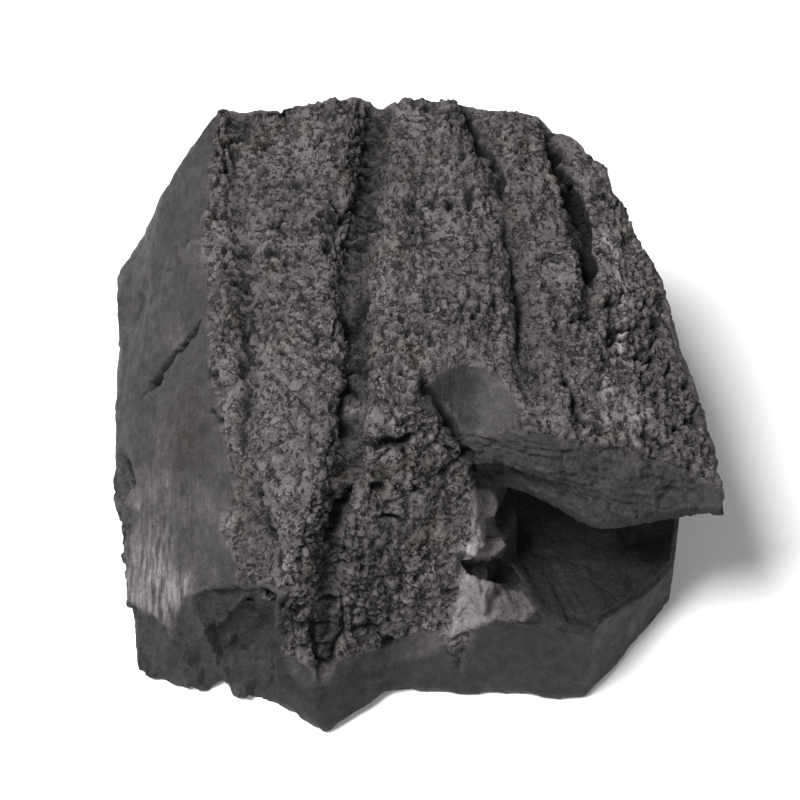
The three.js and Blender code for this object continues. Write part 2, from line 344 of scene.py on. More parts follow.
def noise(points, seed):
    """Value noise from -1 to 1: random numbers on a unit lattice, blended smoothly between its points."""
    low = np.floor(points)
    blend = points - low
    blend = blend * blend * (3 - 2 * blend)
    low = low.astype(np.int64)
    total = np.zeros(len(points))
    for corner in range(8):
        step = np.array([corner & 1, corner >> 1 & 1, corner >> 2])
        weight = np.prod(np.where(step, blend, 1 - blend), axis=1)
        total += weight * mixed_bits(*(low + step).T, seed)
    return total * 2 - 1


def rough_noise(points, seed, octaves=3):
    """Noise with finer noise on it, each octave half as wide and half as strong."""
    total = np.zeros(len(points))
    for octave in range(octaves):
        total += noise(points * 2**octave + 17.3 * octave, seed + octave) / 2**octave
    return total / (2 - 0.5 ** (octaves - 1))


def cells(points, seed, jitter=0.85):
    """The pattern of cracked char: space split into cells round scattered middles.

    Gives each point its distance to the crack beside it, the cell's random number, and how far the point lies
    along the cell's own random slope.
    """
    low = np.floor(points).astype(np.int64)
    nearest = np.full(len(points), 9.0)
    second = np.full(len(points), 9.0)
    number = np.zeros(len(points))
    lean = np.zeros(len(points))
    for step in np.ndindex(3, 3, 3):
        cell = low + np.array(step) - 1
        scatter = [mixed_bits(*cell.T, seed + k) - 0.5 for k in range(3)]
        away = points - (cell + 0.5 + jitter * np.stack(scatter, 1))
        distance = np.sqrt((away * away).sum(1))
        closer = distance < nearest
        second = np.where(closer, nearest, np.minimum(second, distance))
        nearest = np.where(closer, distance, nearest)
        turned = mixed_bits(*cell.T, seed + 7)
        number = np.where(closer, turned, number)
        angle = turned * 40 * math.pi
        slope = away[:, 0] * np.cos(angle) + away[:, 1] * np.sin(angle) + away[:, 2] * np.cos(3 * angle)
        lean = np.where(closer, slope, lean)
    return second - nearest, number, lean


def as_seen(points):
    """Where points are seen from the front: across, and up from the front bottom edge."""
    x, y, z = points.T
    return x, (y - VIEW_FROM) * math.sin(VIEW_RISE) + z * math.cos(VIEW_RISE)


def inside(x, y, outline):
    """How far inside an outline points are: a distance, negative outside."""
    ends = np.array(outline, float)
    within = np.zeros(len(x), bool)
    for (x0, y0), (x1, y1) in zip(ends, np.roll(ends, -1, 0), strict=True):
        crosses = (y0 > y) != (y1 > y)
        within ^= crosses & (x < x0 + (y - y0) * (x1 - x0) / (y1 - y0 if y1 != y0 else 1))
    distance = path_distance(x, y, [*outline, outline[0]])[0]
    return np.where(within, distance, -distance)


def path_distance(x, y, path):
    """Distance to a path, and how far along the path the nearest place is, 0 to 1."""
    points = np.array(path, float)
    best = np.full(len(x), 1e9)
    along = np.zeros(len(x))
    for index in range(len(points) - 1):
        start = points[index]
        run = points[index + 1] - start
        t = np.clip(((x - start[0]) * run[0] + (y - start[1]) * run[1]) / (run @ run), 0, 1)
        distance = np.hypot(x - start[0] - t * run[0], y - start[1] - t * run[1])
        along = np.where(distance < best, (index + t) / (len(points) - 1), along)
        best = np.minimum(best, distance)
    return best, along


# ---------------------------------------------------------------- the large shape

def beside_grooves(x, y):
    """For each groove: how far points lie aside of it, the Y of its front end, half its width, its depth."""
    for path, half, depth in GROOVES:
        line = np.array(path[::-1]) * UNIT[:2]
        yield x - np.interp(y, line[:, 1], line[:, 0]), line[0, 1], half, depth


def top_height(x, y):
    """Height of the charred top: a crown that rises to the back, rolls down to the front and is grooved.

    Also gives the slope of the roll.
    """
    start = np.interp(x, ROLL_ACROSS, ROLL_START)
    past = np.maximum(start - y, 0)
    curved = np.minimum(past, ROLL_SLOPE * ROLL_RADIUS)
    stays = 1 - ramp(x, *ROLL_FADE)
    drop = (curved**2 / (2 * ROLL_RADIUS) + (past - curved) * ROLL_SLOPE) * stays
    crown = (x - CROWN_LINE) ** 2 / (2 * CROWN_RADIUS)
    across = (x - WING["across"]) / WING["half_across"]
    along = (y - WING["along"]) / WING["half_along"]
    wing = WING["rise"] * np.exp(-across**2 - along**2)
    wave = 0.7 * np.sin(x / 5.3 + y / 31) * np.sin(y / 14 + 1.3)
    grooves = 0
    for aside, front, half, depth in beside_grooves(x, y):
        grooves += depth * ramp(y, front - 8, front) * np.exp(-((aside / half) ** 2))
    height = TOP_AT_MIDDLE + TOP_RISE * y - crown - drop + wing + wave - grooves
    return height, curved / ROLL_RADIUS * stays


def in_groove(x, y):
    """1 along the middle of each groove of the top, and 0 beside it."""
    deepest = max(depth for _, _, depth in GROOVES)
    found = np.zeros(len(x))
    for aside, front, half, depth in beside_grooves(x, y):
        reach = ramp(y, front - 4, front + 2)
        found = np.maximum(found, depth / deepest * reach * np.exp(-((aside / (0.8 * half)) ** 2)))
    return found


def slab_shift(x, z):
    """How far the slab's edge and the notch stand back from their profile: a slow wave and a skew."""
    wave = 1.6 * np.sin(x / 6.1 + z / 9)
    below = 1 - ramp(z, 0.6 * HEIGHT, 0.72 * HEIGHT)
    return wave + NOTCH_SKEW * np.maximum(NOTCH_SKEW_FROM - x, 0) * below


def profile_at(z, profile):
    """Y of a profile's [along, up] shares at height z."""
    line = np.array(profile) * UNIT[1:]
    return np.interp(z, line[:, 1], line[:, 0])


def notch_floor(y):
    """Height of the notch's floor, behind and before its lip."""
    line = np.array(NOTCH_FLOOR) * UNIT[1:]
    return np.interp(y, line[:, 0], line[:, 1])


def notch_left(z):
    """Where the notch's left wall stands at height z."""
    return NOTCH_LEFT - 0.25 * (z - HEIGHT / 2)


def faces_at(points):
    """How far points lie outside each face of the lump, in millimetres, by the face's name."""
    x, y, z = points.T
    height, slope = top_height(x, y)
    found = {"top": (z - height) / np.sqrt(1 + slope**2)}
    for name, (at, faces) in BREAKS.items():
        normal = np.array(faces) / np.linalg.norm(faces)
        found[name] = points @ normal - (np.array(at) * UNIT) @ normal
    for name, (at, half) in HOLLOWS.items():
        away = (points - np.array(at) * UNIT) / half
        found[name] = (1 - np.sqrt((away**2).sum(1))) * min(half)
    plan = np.array(LOWER_FACE) * UNIT[:2]
    front = np.interp(x, plan[:, 0], plan[:, 1]) + LOWER_FACE_LEAN * z
    found["lower_face"] = np.minimum(front - y, LOWER_FACE_TOP - z)
    side = np.array(SPOON_SIDE)[::-1]
    found["spoon"] = np.minimum(found["spoon"], 0.8 * (x - np.interp(y, side[:, 1], side[:, 0])))
    shift = slab_shift(x, z)
    edge = profile_at(z, SLAB_EDGE) + shift
    floor = notch_floor(y - shift)
    found["slab_edge"] = np.min([edge - y, x - notch_left(z), z - floor], axis=0)
    found["base"] = -z
    return found


def outermost(found):
    """The largest of the faces' measures: positive outside the lump."""
    return np.max(list(found.values()), axis=0)


def uneven(points, names):
    """How uneven each break is: slow and fine noise of its own, as broken wood has. The base stays flat."""
    amounts = {}
    for index, name in enumerate(names):
        if name == "base":
            amounts[name] = 0.0
            continue
        slow = noise(points / 17 + 31.7 * index, 100 + index)
        fine = rough_noise(points / 6 + 11.1 * index, 140 + index)
        amounts[name] = 0.9 * slow + 0.7 * fine
    amounts["top"] = 0.7 * amounts["top"]
    return amounts


def lump_surface(turn, rise):
    """The lump without its notch, as a function of two angles.

    From the centre, a ray goes out at each turn about Z and each rise above the level. Halving steps find
    where it leaves the lump. The faces' unevenness is read once, where the ray meets the plain faces.
    """
    rays = np.stack([np.cos(rise) * np.cos(turn), np.cos(rise) * np.sin(turn), np.sin(rise)], axis=-1)
    rays = rays.reshape(-1, 3)

    def reach(shifts):
        low = np.zeros(len(rays))
        high = np.full(len(rays), FARTHEST)
        for _ in range(HALVINGS):
            middle = (low + high) / 2
            found = faces_at(CENTRE + middle[:, None] * rays)
            outside = outermost({name: value + shifts[name] for name, value in found.items()}) > 0
            high = np.where(outside, middle, high)
            low = np.where(outside, low, middle)
        return CENTRE + low[:, None] * rays

    names = list(faces_at(CENTRE[None]))
    plain = reach(dict.fromkeys(names, 0.0))
    return reach(uneven(plain, names))


def notch_depth(points):
    """How far points lie inside the notch: before its wall, above its floor and right of its stepped side."""
    x, y, z = points.T
    shift = slab_shift(x, z)
    wall = profile_at(z, NOTCH_WALL) + shift + 1.2 * noise(points / 8, 71)
    floor = notch_floor(y - shift) + 0.8 * noise(points / 7, 72)
    steps = np.interp(z, *np.array(NOTCH_STEPS).T) + 0.4 * (y + 42)
    left = notch_left(np.maximum(z, 25)) + np.minimum(steps, 7.0) - 1.5
    return np.min([wall - y, z - floor, x - left, NOTCH_CEILING - z], axis=0)


def open_notch(points):
    """Moves the points of the notch's mouth inwards, each along a line, until it meets the notch's wall."""
    inward = NOTCH_INWARD / np.linalg.norm(NOTCH_INWARD)
    opened = points.copy()
    mouth = np.flatnonzero(notch_depth(points) > 0)
    moved = points[mouth]
    going = np.ones(len(mouth), bool)
    for _ in range(int(NOTCH_DEEPEST / NOTCH_STRIDE)):
        ahead = moved + NOTCH_STRIDE * inward
        going &= notch_depth(ahead) > 0
        moved[going] = ahead[going]
    opened[mouth] = moved
    return opened


# ---------------------------------------------------------------- the fine relief

def take_over(weights, finish, share):
    """Gives a finish its share of each point, and leaves the others the rest."""
    for other in weights:
        weights[other] = weights[other] * (1 - share)
    weights[finish] = weights.get(finish, 0) + share


def finish_weights(points, facing, found):
    """How much of each finish a point has, and how much of each of the notch's steps.

    The faces that a point lies on share it first, and then the outlines seen from the front.
    """
    found = {**found, "notch": np.where(notch_depth(points) > -1.5, 3.0, -9.0)}
    most = outermost(found)
    raw = {}
    for finish, names in FINISHES.items():
        near = np.max([found[name] for name in names], axis=0) - most
        raw[finish] = np.exp(near / FINISH_BLEND)
    total = sum(raw.values())
    weights = {finish: value / total for finish, value in raw.items()}

    x, up = as_seen(points)
    ragged = 1.3 * rough_noise(points / 4, 65, 2)
    lip = np.interp(x, *np.array(LIP).T)
    tongue = ramp(points[:, 2] - lip + 0.6 * ragged, -0.3, 0.3)
    tongue *= (1 - fade(x, "tongue_right")) * weights["lip"]
    corner = ramp(inside(x, up, CORNER) + ragged, -0.3, 0.5) * facing * (1 - weights["base"])
    tongue *= 1 - corner
    weights["char"] += tongue
    weights["lip"] -= tongue
    take_over(weights, "corner", corner)
    edge = np.interp(up, *np.array(CHAR_EDGE).T) + ragged
    burnt = ramp(x - edge, -0.4, 0.8) * fade(up, "flank_char_low") * (1 - fade(up, "flank_char_high"))
    burnt *= (1 - fade(x, "flank_char_right")) * facing * weights["split"]
    weights["char"] += burnt
    weights["split"] -= burnt
    wisps = noise(np.stack([x / 1.6, up / 9, up / 40], 1), 67)
    silver = ramp(inside(x, up, SILVER) + 1.6 * ragged + 2.6 * wisps, -2.5, 3.5)
    silver *= (0.3 + 0.7 * fade(up, "silver_high")) * facing * (weights["split"] + weights["grain"])
    for finish in ("split", "grain"):
        weights[finish] = weights[finish] * (1 - silver)
    weights["silver"] = silver
    before = facing * (1 - fade(points[:, 1], "steps_back")) * (1 - weights["base"])
    steps = [ramp(inside(x, up, outline) + 0.25 * ragged, -0.25, 0.25) * before for outline, _, _ in STEPS]
    take_over(weights, "notch", np.max(steps, axis=0))
    return weights, steps


def edge_nearness(found):
    """1 on an edge between two faces and 0 a little way from it."""
    ranked = np.sort(list(found.values()), axis=0)
    return 1 - ramp(ranked[-1] - ranked[-2], 0.0, EDGE_WIDTH)


def patch_at(x, up, patch):
    """1 in the middle of a round patch as seen from the front, and 0 beside it."""
    across, high, half_across, half_high = patch
    return np.exp(-((x - across) / half_across) ** 2 - ((up - high) / half_high) ** 2)


def char_relief(points, settings):
    """Cracked char: ridges along the grain, small blocks between fine cracks, and larger broken cracks.

    Gives the height and the share of crack, which the material paints dark as shade.
    """
    _, y, z = points.T
    wander = np.stack([noise(points / 5, 11), noise(points / 7, 12), noise(points / 5, 13)], 1)
    fret = np.stack([noise(points / 1.3, seed) for seed in (14, 15, 16)], 1)
    drift = points + 1.1 * wander + 0.3 * fret
    ridges = rough_noise(np.stack([drift[:, 0] / 5.2, y / 46, z / 14], 1), 21, 3)
    ridges = 1.9 * np.abs(ridges) ** 0.6 - 1
    swell = noise(points / np.array([6.5, 19, 9]), 22)
    pitch = settings.crack_pitch / MM
    edge, number, lean = cells(drift / (pitch * np.array([1.0, 1.3, 1.0])), 31)
    broken = ramp(noise(points / 2.6, 53), -0.5, 0.1)
    fine = (1 - ramp(edge, 0.05, 0.17)) * broken
    wide_edge, wide_number, wide_lean = cells(drift / (pitch * np.array([3.6, 2.5, 3.2])), 41)
    wide = (1 - ramp(wide_edge, 0.03, 0.12)) * ramp(noise(points / 4.5, 54), -0.35, 0.1)
    patch = ramp(noise(points / 14, 51), -0.5, 0.4)
    sparse = ramp(noise(points / 11, 52), -0.2, 0.5)
    pits = ramp(noise(points / np.array([1.0, 1.6, 1.1]), 55), 0.3, 0.75)
    depth = settings.crack_depth / MM
    height = settings.ridge_height / MM * (0.55 * ridges + 0.5 * swell)
    height += 0.8 * (number - 0.5) * (0.4 + 0.6 * patch) + 0.7 * lean * (0.35 + 0.65 * patch)
    height += 0.8 * (wide_number - 0.5) + 0.4 * wide_lean
    height -= 1.15 * depth * fine * (0.5 + 0.5 * patch) + 2.3 * depth * wide * (0.4 + 0.6 * sparse)
    height -= 1.2 * depth * pits * (0.4 + 0.6 * patch)
    crack_shade = fine * (0.35 + 0.45 * patch) + wide * (0.3 + 0.7 * sparse) + 0.7 * pits * (0.4 + 0.6 * patch)
    return height, np.clip(crack_shade, 0, 1)


def open_cracks(points, facing):
    """The named open cracks of the visible side: depth at each point, with wandering edges."""
    x, up = as_seen(points)
    x = x + 0.7 * noise(points / 3.2, 81) + 0.3 * noise(points / 1.1, 82)
    up = up + 0.7 * noise(points / 3.2, 83) + 0.3 * noise(points / 1.1, 84)
    gaps = noise(points / 2.4, 80)
    depth = np.zeros(len(points))
    for path, half, deepest in CRACKS:
        distance, along = path_distance(x, up, path)
        ends = ramp(along, 0.0, 0.15) * (1 - ramp(along, 0.85, 1.0))
        narrow = half * (0.35 + 0.65 * ends) * (1 + 0.6 * gaps)
        depth = np.maximum(depth, deepest * (0.4 + 0.6 * ends) * (1 - ramp(distance / narrow, 0.3, 1.7)))
    return depth * facing


def grain_relief(points, fineness, upright=1.0):
    """The fibres of a split face: long low ridges along the grain, and here and there a step between layers.

    On an upright face they lie one above another. With upright at 0 they run down the face instead.
    """
    x, y, z = points.T
    bend = 0.8 * noise(points / 15, 91) + 0.35 * (1 - upright) * noise(points / 5, 94)
    down = upright / fineness + (1 - upright) / 26
    fibres = np.stack([(x + bend) / fineness, y / 26, (z + bend) * down], 1)
    layers = np.stack([(x + 2 * bend) / 4.5, y / 30, (z + bend) * (upright / 4.5 + (1 - upright) / 30)], 1)
    step = ramp(noise(layers, 93), 0.05, 0.2)
    return 0.6 * rough_noise(fibres, 92, 3) + 0.7 * step


def ring_relief(points, spacing):
    """The growth rings on a face across the grain: a saw-tooth of the distance from the pith line."""
    x, _, z = points.T
    reach = np.hypot(x - PITH[0], z - PITH[1]) + 1.1 * noise(points / 9, 95)
    tooth = np.mod(reach / spacing + 0.6 * noise(points / 5, 96), 1)
    return ramp(tooth, 0.0, 0.75) - ramp(tooth, 0.8, 1.0)


def radial_checks(points):
    """Drying checks on the end grain: broken cracks that run out from the pith line."""
    x, _, z = points.T
    turn = np.arctan2(x - PITH[0], z - PITH[1])
    turn += 0.006 * noise(points / 4, 85) + 0.02 * noise(points / 30, 84)
    spoke = np.abs(np.mod(turn * 11, 1) - 0.5) / 11 * 100
    strength = ramp(noise(points / np.array([7, 20, 13]), 86), -0.1, 0.5)
    return (1 - ramp(spoke, 0.1, 0.2 + 0.6 * strength)) * ramp(strength, 0.05, 0.5)


def break_relief(points):
    """A snapped break: flat tilted splinters with sharp ridges between them, and torn fibres on their faces.

    Gives the height and the share of crack along the ridges, which the material paints dark as shade.
    """
    bent = points + 0.8 * np.stack([noise(points / 9, seed) for seed in (87, 88, 89)], 1)
    _, _, lean = cells(bent / np.array([8.0, 14.0, 10.0]), 103)
    edge, _, fine_lean = cells(bent / np.array([3.0, 9.0, 5.0]), 111)
    torn = 1 - 2 * np.abs(rough_noise(bent / np.array([2.2, 9, 6]), 115, 2))
    return 2.6 * lean + 0.7 * fine_lean + 0.5 * torn, (1 - ramp(edge, 0.0, 0.1)) * 0.25


class Skin:
    """What the relief and the tones both need to know about each point of the surface."""

    def __init__(self, points, normals):
        view = np.array([0, -math.cos(VIEW_RISE), math.sin(VIEW_RISE)])
        self.points = points
        self.facing = ramp(normals @ view, -0.05, 0.12)
        self.x, self.up = as_seen(points)
        self.found = faces_at(points)
        self.weights, self.steps = finish_weights(points, self.facing, self.found)
        self.stepped = np.max(self.steps, axis=0)
        self.gentle = noise(points / 9, 98)
        self.rough = rough_noise(points / 3.0, 97, 3)
        # The middle of the char's grooves: deepened, and painted darker as shade.
        self.shaded_groove = in_groove(self.x, points[:, 1]) * self.weights["char"]
        bevel = np.clip(self.up - np.interp(self.x, *np.array(BEVEL).T), 0, BEVEL_HEIGHT)
        self.bevel = bevel * fade(self.x, "bevel_left") * (1 - fade(self.x, "bevel_right"))

    def patch(self, patch):
        return patch_at(self.x, self.up, patch) * self.facing


def relief(points, normals, settings):
    """The lump's fine relief in millimetres, and what the material is told about each point."""
    skin = Skin(points, normals)
    x, up, weights, rough = skin.x, skin.up, skin.weights, skin.rough
    plain = 1 - 0.55 * sum(skin.patch(patch) for patch in PLAIN_CHAR)
    char, crack_shade = (share * plain for share in char_relief(points, settings))
    slits = open_cracks(points, skin.facing)
    checks = radial_checks(points)
    snapped, snapped_edges = break_relief(points)
    patterns = {
        "level": np.ones(len(points)),
        "gentle": skin.gentle,
        "rough": rough,
        "char": char,
        "fibres": grain_relief(points, 1.1),
        "streaks": grain_relief(points, 1.0, 0.0),
        "rings": ring_relief(points, 1.5),
        "wide_rings": ring_relief(points, 2.4),
        "checks": checks,
        "torn": rough_noise(points / np.array([1.5, 3.0, 1.5]), 116, 2),
        "splinters": snapped * fade(x, "splinters_left"),
        "stepped": snapped * skin.stepped,
    }
    height = np.zeros(len(points))
    for finish, recipe in RELIEF.items():
        height += weights[finish] * sum(amount * patterns[name] for name, amount in recipe.items())

    strip = fade(x, "scorched_left") * fade(up, "scorched_low") * (1 - fade(up, "scorched_high"))
    strip *= skin.facing
    scorched = np.maximum(ramp(noise(points / 21, 62), 0.0, 0.5) * weights["grain"],
                          strip * (weights["grain"] + weights["split"] + 0.6 * weights["silver"]))
    height += 0.5 * scorched * char
    chips = ramp(rough_noise(points / 4.5, 63, 2), -0.05, 0.5)
    wear = (1 - weights["base"]) * (1 - 0.8 * weights["corner"]) * edge_nearness(skin.found)
    height -= wear * (0.35 + 1.2 * chips)
    height *= 1 - 0.8 * fade(x, "smooth_end_right") * (weights["slab"] + weights["notch"])
    height -= slits * (1 - weights["base"]) * (1 - weights["notch"])
    height += sum(step * rise for step, (_, _, rise) in zip(skin.steps, STEPS, strict=True))
    height -= GROOVE_MIDDLE_DEPTH * skin.shaded_groove
    height -= BEVEL_SLOPE * skin.bevel * weights["lip"] * skin.facing
    bitten = ramp(inside(x, up, CORNER_BITE) + 0.5 * rough, 0.0, 1.6)
    height -= CORNER_BITE_DEPTH * bitten * weights["corner"]

    # Painted shade: the char's cracks and pits, the open cracks, the splinter edges and the end's drying
    # checks are painted darker.
    shaded_cracks = crack_shade * (weights["char"] + 0.3 * weights["slab"] + 0.5 * scorched) + slits / 1.3
    shaded_cracks += snapped_edges * weights["corner"] + checks * weights["end"]
    dull = skin.patch(DULL_PATCH)
    return height, {**weights, "crack_shade": np.clip(shaded_cracks, 0, 1), "light_and_tone": painted_light_and_tones(skin, dull), "dull": dull}


def painted_light_and_tones(skin, dull):
    """How light each point is beside its finish's own colour: 1 is as it is, and 0 is black.

    Most of it is painted light and shade: light on the crest, on glints, on the spoon's lit side and on the
    lip's bevel; shade in the spoon's hollow and the grooves, on the lip, the corner, the slab's edge and the
    notch, and higher up the split flank; light and shade on the notch's steps. The dull patch is the lump's
    own colour.
    """
    x, up, weights = skin.x, skin.up, skin.weights
    # Painted light: the crest is lighter, with brighter highlight patches on it.
    crest_light = skin.patch(LIT_CREST)
    crest_highlights = crest_light * ramp(rough_noise(skin.points / np.array([2.6, 14, 9]), 66, 2), 0.0, 0.5)
    # Painted shade in the spoon hollow, turning to painted light on its lit right side.
    spoon = ramp(skin.found["spoon"], -0.6, 0.4) * weights["split"]
    spoon_lit_side = ramp(x - 13.5 - 0.13 * (up - 58.3) + 0.6 * skin.gentle, -1, 2.5)
    glints = sum(np.exp(-((x - across) ** 2 + (up - high) ** 2) / size**2) for across, high, size in PAINTED_GLINTS)
    light_and_tone = 1 - 0.2 * dull + 0.15 * crest_light + 1.7 * crest_highlights - spoon * (0.4 - 0.5 * spoon_lit_side)
    # Painted highlights on small glints, and painted shade in the grooves' middles.
    light_and_tone += 0.9 * glints * skin.facing - 0.62 * skin.shaded_groove
    # Painted shade on the lip, stronger towards its left, and painted light on the bevel under it.
    light_and_tone *= 1 - weights["lip"] * (0.35 * fade(x, "lip_shade_right") - np.minimum(skin.bevel, 1))
    # Painted shade on the broken corner, the lip and the slab's edge, which face down and away from the
    # light.
    light_and_tone *= 1 - 0.75 * weights["corner"] - 0.45 * weights["lip"] - 0.68 * weights["slab"]
    # Painted shade in the notch under the slab's overhang; its steps keep their own tones.
    light_and_tone *= 1 - 0.85 * weights["notch"] * (1 - skin.stepped)
    # Painted light and shade on the notch's steps.
    for step, (_, shade, _) in zip(skin.steps, STEPS, strict=True):
        light_and_tone = light_and_tone * (1 - step) + shade * step
    # Painted shade on the split flank, higher up.
    return light_and_tone * (1 - 0.15 * weights["split"] * fade(up, "flank_shade_low"))


# ---------------------------------------------------------------- meshes

def closed_grid(name, grid):
    """A mesh from rings of points between two poles: the first and last rings are one point each."""
    rings, around = grid.shape[:2]
    inner = grid[1:-1].reshape(-1, 3)
    points = np.concatenate([grid[0, :1], inner, grid[-1, :1]])
    column = np.arange(around)
    after = np.roll(column, -1)
    first = 1 + column
    last = 1 + (rings - 3) * around + column
    bottom = np.stack([np.zeros(around, int), first[after], first], 1)
    top = np.stack([np.full(around, len(points) - 1), last, last[after]], 1)
    row = 1 + np.arange(rings - 3)[:, None] * around
    above = row + around
    quads = np.stack([row + column, row + after, above + after, above + column], -1).reshape(-1, 4)
    corners = np.concatenate([bottom.ravel(), quads.ravel(), top.ravel()])
    counts = np.concatenate([np.full(around, 3), np.full(len(quads), 4), np.full(around, 3)])
    mesh = bpy.data.meshes.new(name)
    mesh.vertices.add(len(points))
    mesh.vertices.foreach_set("co", (points * MM).astype(np.float32).ravel())
    mesh.loops.add(len(corners))
    mesh.loops.foreach_set("vertex_index", corners.astype(np.int32))
    mesh.polygons.add(len(counts))
    mesh.polygons.foreach_set("loop_start", (np.cumsum(counts) - counts).astype(np.int32))
    mesh.update(calc_edges=True)
    return mesh


def numbers(items, field, width=3):
    """One field of a mesh's items as an array."""
    found = np.empty(len(items) * width, np.float32)
    items.foreach_get(field, found)
    return found.reshape(-1, width).astype(float)


def with_modifier(piece, kind, **options):
    """Puts a modifier on a piece and makes its result the piece's mesh."""
    modifier = piece.modifiers.new(kind.title(), kind)
    for option, value in options.items():
        setattr(modifier, option, value)
    shown = piece.evaluated_get(bpy.context.evaluated_depsgraph_get())
    result = bpy.data.meshes.new_from_object(shown)
    piece.modifiers.remove(modifier)
    old = piece.data
    piece.data = result
    bpy.data.meshes.remove(old)


def drop_crumbs(mesh):
    """Removes the loose crumbs that the remesh can leave beside the lump.

    Every point takes the lowest number found among its neighbours, again and again, until each joined part
    of the mesh has one number. The part with the most points stays.
    """
    edges = np.empty(len(mesh.edges) * 2, np.int32)
    mesh.edges.foreach_get("vertices", edges)
    first, second = edges.reshape(-1, 2).T
    part = np.arange(len(mesh.vertices))
    settled = False
    while not settled:
        lower = part.copy()
        shared = np.minimum(part[first], part[second])
        np.minimum.at(lower, first, shared)
        np.minimum.at(lower, second, shared)
        lower = lower[lower]
        settled = np.array_equal(lower, part)
        part = lower
    crumbs = np.flatnonzero(part != np.bincount(part).argmax())
    if len(crumbs) == 0:
        return
    shape = bmesh.new()
    shape.from_mesh(mesh)
    shape.verts.ensure_lookup_table()
    bmesh.ops.delete(shape, geom=[shape.verts[index] for index in crumbs], context="VERTS")
    shape.to_mesh(mesh)
    shape.free()


def carve(mesh, settings):
    """Moves each point of the mesh along its normal by the relief, and stores the finishes as attributes."""
    points = numbers(mesh.vertices, "co") / MM
    normals = numbers(mesh.vertices, "normal")
    height, weights = relief(points, normals, settings)
    lifted = 0.8 * ramp(noise(points * [0.12, 0.03, 0.1], 64), 0.1, 0.8) * weights["base"]
    carved = points + height[:, None] * normals
    carved[:, 2] = np.maximum(carved[:, 2], 0)
    on_base = weights["base"] > 0.5
    carved[on_base, 2] = lifted[on_base]
    mesh.vertices.foreach_set("co", (carved * MM).astype(np.float32).ravel())
    for name, channels in CHANNELS.items():
        layer = mesh.attributes.new(name, "FLOAT_COLOR", "POINT")
        values = np.stack([*(weights[channel] for channel in channels), np.ones(len(points))], 1)
        layer.data.foreach_set("color", values.astype(np.float32).ravel())
    mesh.update()


def large_shape():
    """The mesh of the lump with its notch, before the relief."""
    turn = np.linspace(0, 2 * math.pi, AROUND, endpoint=False)
    rise = np.linspace(-math.pi / 2, math.pi / 2, RINGS)
    rise_grid, turn_grid = np.meshgrid(rise, turn, indexing="ij")
    points = open_notch(lump_surface(turn_grid, rise_grid))
    return closed_grid("lump", points.reshape(RINGS, AROUND, 3))


def weather(lump, settings):
    """Gives the lump an even fine mesh, carves the relief into it, and thins it where it is smooth."""
    with_modifier(lump, "REMESH", mode="VOXEL", voxel_size=settings.voxel)
    drop_crumbs(lump.data)
    carve(lump.data, settings)
    triangles = len(lump.data.loops) - 2 * len(lump.data.polygons)
    with_modifier(lump, "DECIMATE", ratio=settings.triangles / triangles)
    lump.data.shade_smooth()


# ---------------------------------------------------------------- the finish

class Nodes:
    """Short words for laying out a material's nodes."""

    def __init__(self, material):
        material.use_nodes = True
        self.tree = material.node_tree
        self.tree.nodes.clear()

    def add(self, kind, **settings):
        node = self.tree.nodes.new(kind)
        for key, value in settings.items():
            setattr(node, key, value)
        return node

    def feed(self, socket, value):
        """Links a socket to another's output, or sets its own number."""
        if isinstance(value, bpy.types.NodeSocket):
            self.tree.links.new(value, socket)
        else:
            socket.default_value = value

    def math(self, operation, a, b=0.0, clamp=False):
        node = self.add("ShaderNodeMath", operation=operation, use_clamp=clamp)
        self.feed(node.inputs[0], a)
        self.feed(node.inputs[1], b)
        return node.outputs[0]

    def mix(self, factor, a, b, blend="MIX"):
        node = self.add("ShaderNodeMix", data_type="RGBA", blend_type=blend)
        self.feed(node.inputs["Factor"], factor)
        self.feed(node.inputs["A"], a)
        self.feed(node.inputs["B"], b)
        return node.outputs["Result"]

    def blend(self, factor, a, b):
        node = self.add("ShaderNodeMix", data_type="FLOAT")
        for socket, value in ((0, factor), (2, a), (3, b)):
            self.feed(node.inputs[socket], value)
        return node.outputs[0]

    def ramp(self, value, low, high, to_low=0.0, to_high=1.0):
        node = self.add("ShaderNodeMapRange", interpolation_type="SMOOTHSTEP")
        self.feed(node.inputs["Value"], value)
        for name, number in {"From Min": low, "From Max": high, "To Min": to_low, "To Max": to_high}.items():
            self.feed(node.inputs[name], number)
        return node.outputs["Result"]

    def scaled(self, vector, scale):
        node = self.add("ShaderNodeMapping")
        self.feed(node.inputs["Vector"], vector)
        node.inputs["Scale"].default_value = scale
        return node.outputs["Vector"]

    def noise(self, vector, scale, detail=3.0, roughness=0.55):
        node = self.add("ShaderNodeTexNoise")
        self.feed(node.inputs["Vector"], vector)
        node.inputs["Scale"].default_value = scale
        node.inputs["Detail"].default_value = detail
        node.inputs["Roughness"].default_value = roughness
        return node.outputs["Fac"]

    def channels(self):
        """The mesh's own channels: an output for each, by its name."""
        found = {}
        for attribute, names in CHANNELS.items():
            split = self.add("ShaderNodeSeparateColor")
            node = self.add("ShaderNodeAttribute", attribute_name=attribute)
            self.feed(split.inputs[0], node.outputs["Color"])
            found.update(zip(names, split.outputs, strict=True))
        return found


